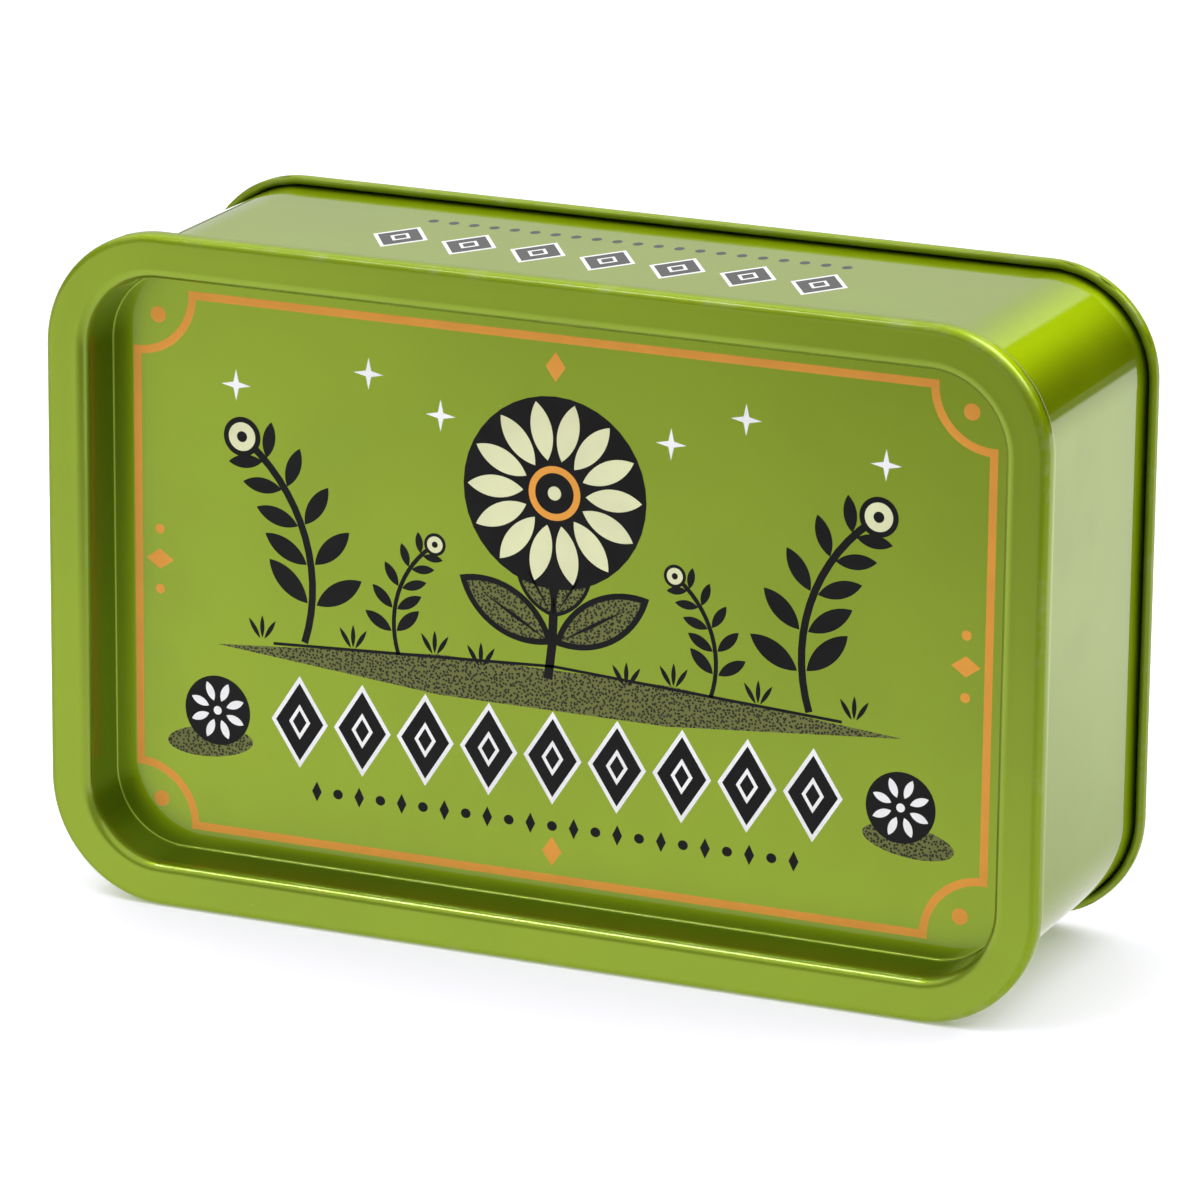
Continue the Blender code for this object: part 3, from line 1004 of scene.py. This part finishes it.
def tuft_motif():
    """A tuft of grass."""
    motif, blade = Print(), Print()
    blade.add(flat_lens(*GRASS_BLADE), "black", 2)
    for turn in BLADE_TURNS:
        motif.stamp(blade, (0, 0), turn)
    blade.clear()
    return motif


def print_panel(inks):
    """The panel's design: a framed flower between sprigs on a hill, over a band of lozenges."""
    sheet = Print()
    sheet.add(flat_frame(), "orange", 1)
    side_mark, dot, lozenge, star, button = Print(), Print(), lozenge_motif(), star_motif(), button_motif()
    leaf, flower, sprig, tuft = leaf_motif(), flower_motif(), sprig_motif(), tuft_motif()
    side_mark.add(flat_disc(*SIDE_MARK, sides=4), "orange", 1)
    dot.add(flat_disc(*CORNER_DOT), "orange", 1)
    for side_dot in SIDE_DOTS:
        side_mark.add(flat_disc(*side_dot), "orange", 1)
    sheet.add(flat_lens(*HILL), "olive", 1)
    sheet.add(flat_arc(*HILL_LINE), "black", 2)
    sheet.add(flat_arc(*FLOWER_STEM), "black", 2)
    for mirrored in (False, True):
        side = 1 if mirrored else -1
        for (across, along), turn, size in LEAVES:
            sheet.stamp(leaf, (side * across, along), turn, size, mirrored, 2)
        for (across, along), size, inwards in SPRIGS:
            sheet.stamp(sprig, (side * across, along), 0, size, mirrored != inwards, 1)
        for motif, places, lift in ((button, BUTTONS, 0), (tuft, TUFTS, 1)):
            for across, along in places:
                sheet.stamp(motif, (side * across, along), 0, 1, mirrored, lift)
        for across, along in STARS:
            sheet.stamp(star, (side * across, along))
        sheet.stamp(side_mark, (0, 0), 0, 1, mirrored)
        for turn in (0, 180):
            sheet.stamp(dot, (0, 0), turn, 1, mirrored)
    sheet.stamp(flower, FLOWER_PLACE, 0, FLOWER_SIZE, False, 3)
    for count in range(-LOZENGE_COUNT, LOZENGE_COUNT + 1):
        sheet.stamp(lozenge, (count * LOZENGE_SPACING, LOZENGE_HEIGHT))
    for count in range(-ROW_COUNT, ROW_COUNT + 1):
        radii, sides = (ROW_LOZENGE, 4) if count % 2 else (ROW_DOT, DISC_SIDES)
        sheet.add(flat_disc((count * ROW_SPACING, ROW_HEIGHT), radii, sides=sides), "black", 1)
    for end_mark in END_MARKS:
        sheet.add(flat_disc(*end_mark, sides=4), "orange", 1)
    for motif in (side_mark, dot, lozenge, star, button, leaf, flower, sprig, tuft):
        motif.clear()
    upright = Matrix.Rotation(math.pi / 2, 4, "X")
    face = Matrix.Translation((0, FRONT + RECESS_DEPTH, MIDDLE_HEIGHT)) @ upright
    sheet.lay("panel_print", inks, face, "lid")


def print_top(inks):
    """A band of lozenges and a row of dots on the upper side of the wall."""
    sheet, lozenge = Print(), lozenge_motif()
    for count in range(-TOP_LOZENGE_COUNT, TOP_LOZENGE_COUNT + 1):
        sheet.stamp(lozenge, (count * TOP_LOZENGE_SPACING, 0), 0, TOP_LOZENGE_SIZE)
    for count in range(-TOP_DOT_COUNT, TOP_DOT_COUNT + 1):
        sheet.add(flat_disc((count * TOP_DOT_SPACING, TOP_DOT_HEIGHT), TOP_DOT), "black", 1)
    lozenge.clear()
    face = Matrix.Translation((0, FRONT + TOP_BAND_DEPTH, HEIGHT - WALL_INSET))
    sheet.lay("top_print", inks, face, "tin_body")


def make_prints():
    print_panel({
        "black": printing_ink("panel_black_ink", BLACK_INK, PANEL_INK_COAT),
        "white": printing_ink("panel_white_ink", WHITE_INK, PANEL_INK_COAT),
        "cream": printing_ink("panel_cream_ink", CREAM_INK, PANEL_INK_COAT),
        "olive": printing_ink("panel_olive_ink", OLIVE_INK, PANEL_INK_COAT, INK_METAL, True),
        "orange": printing_ink("panel_orange_ink", ORANGE_INK, PANEL_INK_COAT, INK_METAL),
    })
    print_top({
        "black": printing_ink("top_black_ink", BLACK_INK, TOP_INK_COAT),
        "white": printing_ink("top_white_ink", WHITE_INK, TOP_INK_COAT),
    })


def make_camera():
    """The camera of the photograph, which stands to the front right and looks down on the tin."""
    forward = Vector((-math.sin(YAW) * math.cos(PITCH), math.cos(YAW) * math.cos(PITCH), -math.sin(PITCH)))
    level = Vector((math.cos(YAW), math.sin(YAW), 0))
    upright = level.cross(forward)
    right = math.cos(ROLL) * level + math.sin(ROLL) * upright
    up = math.cos(ROLL) * upright - math.sin(ROLL) * level
    offset = -CAMERA_SHARES[0] * right - CAMERA_SHARES[1] * up - CAMERA_SHARES[2] * forward
    position = Vector((0, FRONT, MIDDLE_HEIGHT)) + WIDTH * offset
    turn = Matrix((right, up, -forward)).transposed()
    bpy.ops.object.camera_add(location=position, rotation=turn.to_euler())
    camera = bpy.context.object
    camera.data.sensor_width = SENSOR
    camera.data.lens = FOCAL_PIXELS / FRAME_PIXELS * SENSOR
    camera.data.clip_end = CLIP_END
    bpy.context.scene.camera = camera


# The floor as lit, and how bright it looks in the lacquer, with the stretches in metres where that fades
FLOOR_SIZE = 9
FLOOR_COLOUR = (0.92, 0.9, 1, 1)
FLOOR_GLOW = 0.16
MIRRORED_COLOUR = (0.15, 0.15, 0.15, 1)
GRADIENT_SLANT = 1.2
GRADIENT_EDGES = (0, 0.72)
MIRRORED_NEAR = 0.9
BEHIND_EDGES = (0.03, 0.22)
MIRRORED_BEHIND = 0.4
BESIDE_EDGES = (0.1, 0.25)
BESIDE_START = (-0.32, -0.15)
BESIDE_END = (0.04, -0.04)
MIRRORED_BESIDE = 0.6
MIRRORED_END = (0.9, 1.3)
FAR_FRONT_EDGES = (-0.45, -0.7)
FAR_LEFT_EDGES = (0.1, -0.1)
MIRRORED_FAR_FRONT = 0.4


def make_floor():
    """A pale floor that keeps the tin's soft shadow, looks white and fades in the lacquer with distance."""
    bpy.ops.mesh.primitive_plane_add(size=FLOOR_SIZE)
    floor = bpy.context.object
    floor.name = "studio_floor"
    material = bpy.data.materials.new("pale_floor")
    material.use_nodes = True
    tree = material.node_tree
    tree.nodes.clear()
    camera_ray, glossy_ray = ray_kinds(tree)
    sideways, backwards, _ = split_axes(tree, add_node(tree, "ShaderNodeTexCoord", output="Object"))
    near = (sideways - backwards * GRADIENT_SLANT).ramp(*GRADIENT_EDGES, MIRRORED_NEAR, 0)
    behind = backwards.ramp(*BEHIND_EDGES, 0, MIRRORED_BEHIND)
    beside = sideways.ramp(*BESIDE_EDGES, 0, MIRRORED_BESIDE)
    for edges in (BESIDE_START, BESIDE_END):
        beside = beside * backwards.ramp(*edges)
    far_front = backwards.ramp(*FAR_FRONT_EDGES, 0, MIRRORED_FAR_FRONT) * sideways.ramp(*FAR_LEFT_EDGES)
    mirrored = (near + behind + beside) * backwards.ramp(*MIRRORED_END, 1, 0) + far_front
    strength = camera_ray * FLOOR_GLOW + glossy_ray * mirrored
    glow = add_node(tree, "ShaderNodeEmission", values={"Strength": strength})
    values = {"Factor": glossy_ray, 6: FLOOR_COLOUR, 7: MIRRORED_COLOUR}
    colour = add_node(tree, "ShaderNodeMix", {"data_type": "RGBA"}, values, output=2)
    paint = add_node(tree, "ShaderNodeBsdfDiffuse", values={"Color": colour})
    total = add_node(tree, "ShaderNodeAddShader", values={0: paint, 1: glow})
    add_node(tree, "ShaderNodeOutputMaterial", values={"Surface": total})
    floor.data.materials.append(material)


# The sky: the strength of each of its parts, and where it fades along a direction's X, Y and Z
BACK_WALL = 0.76
RIGHT_WALL = 0.68
RIGHT_WALL_EDGES = (0, 0.4)
WALL_TILT = 1.3
WALL_EDGES = (0.485, 0.43)
WALL_START = (0, 0.2)
FRONT_SKY = 0.42
FRONT_LOW = 0.8
FRONT_LOW_EDGES = (0, 0.12)
FRONT_LEFT_EDGES = (0.15, -0.1)
FRONT_EDGES = (0.1, -0.3)
FRONT_TOP = (0.56, 0.46)
HIGH_SKY = 1
HIGH_EDGES = (0.46, 0.56)
BACK_SKY = 5.2
BACK_FILL = 2
BACK_EDGES = (0, 0.3)
BACK_RIGHT_EDGES = (-0.05, 0.2)
KEY_SKY = 19
KEY_DIRECTION = (-0.384, -0.27, 0.883)
KEY_EDGES = (0.9975, 0.9988)
WHITE = (1, 1, 1, 1)

# Softboxes, each by its name, place, width, height and power
SOFTBOXES = (
    ("overhead_softbox", (-0.4, -0.4, 1.15), 0.9, 0.8, 3.3),
    ("left_softbox", (-1.3, -1.1, 0.9), 0.8, 0.8, 4.8),
    ("right_softbox", (1.3, 0.5, 0.9), 0.8, 0.8, 0.5),
)


def make_world():
    """A white wall behind the tin up to a low height, a grey room in front and a bright sky above. The sky
    at the back right lights the floor less than it shows in the lacquer."""
    world = bpy.data.worlds.new("studio")
    bpy.context.scene.world = world
    world.use_nodes = True
    tree = world.node_tree
    tree.nodes.clear()
    camera_ray, glossy_ray = ray_kinds(tree)
    direction = add_node(tree, "ShaderNodeTexCoord", output="Generated")
    sideways, backwards, up = split_axes(tree, direction)
    wall_level = sideways.ramp(*RIGHT_WALL_EDGES, BACK_WALL, BACK_WALL + RIGHT_WALL)
    wall = (up + sideways * WALL_TILT).ramp(*WALL_EDGES) * backwards.ramp(*WALL_START) * wall_level
    front_level = up.ramp(*FRONT_LOW_EDGES, FRONT_LOW, 0) * sideways.ramp(*FRONT_LEFT_EDGES) + FRONT_SKY
    front = backwards.ramp(*FRONT_EDGES) * up.ramp(*FRONT_TOP) * front_level
    back_level = BACK_FILL + glossy_ray * (BACK_SKY - BACK_FILL)
    back_right = backwards.ramp(*BACK_EDGES) * sideways.ramp(*BACK_RIGHT_EDGES) * back_level
    high = up.ramp(*HIGH_EDGES) * (back_right + HIGH_SKY)
    values = {0: direction, 1: KEY_DIRECTION}
    towards_key = add_node(tree, "ShaderNodeVectorMath", {"operation": "DOT_PRODUCT"}, values, output=1)
    key = towards_key.ramp(*KEY_EDGES, 0, KEY_SKY)
    strength = (high + wall + front + key) * (1 - camera_ray) + camera_ray
    sky = add_node(tree, "ShaderNodeBackground", values={"Color": WHITE, "Strength": strength})
    add_node(tree, "ShaderNodeOutputWorld", values={"Surface": sky})


def make_lights():
    """Softboxes that light the tin without showing in its lacquer."""
    middle = Vector((0, 0, MIDDLE_HEIGHT))
    for name, position, width, height, power in SOFTBOXES:
        bpy.ops.object.light_add(type="AREA", location=position)
        light = bpy.context.object
        light.name = name
        light.data.shape = "RECTANGLE"
        light.data.size = width
        light.data.size_y = height
        light.data.energy = power
        light.visible_glossy = False
        light.rotation_euler = (middle - Vector(position)).to_track_quat("-Z", "Y").to_euler()


def build():
    bpy.context.scene.view_settings.view_transform = "Standard"
    make_camera()
    make_world()
    make_floor()
    make_lights()
    bare = tinplate("bare_tinplate")
    make_lid(green_lacquer("lid_green", LID_GREEN, LID_ROUGHNESS), bare)
    make_wall(green_lacquer("wall_green", WALL_GREEN, BODY_ROUGHNESS, seamed=True), bare)
    make_lap(bare)
    make_prints()
    make_bottom(green_lacquer("bottom_green", BOTTOM_GREEN, BODY_ROUGHNESS), bare)


build()
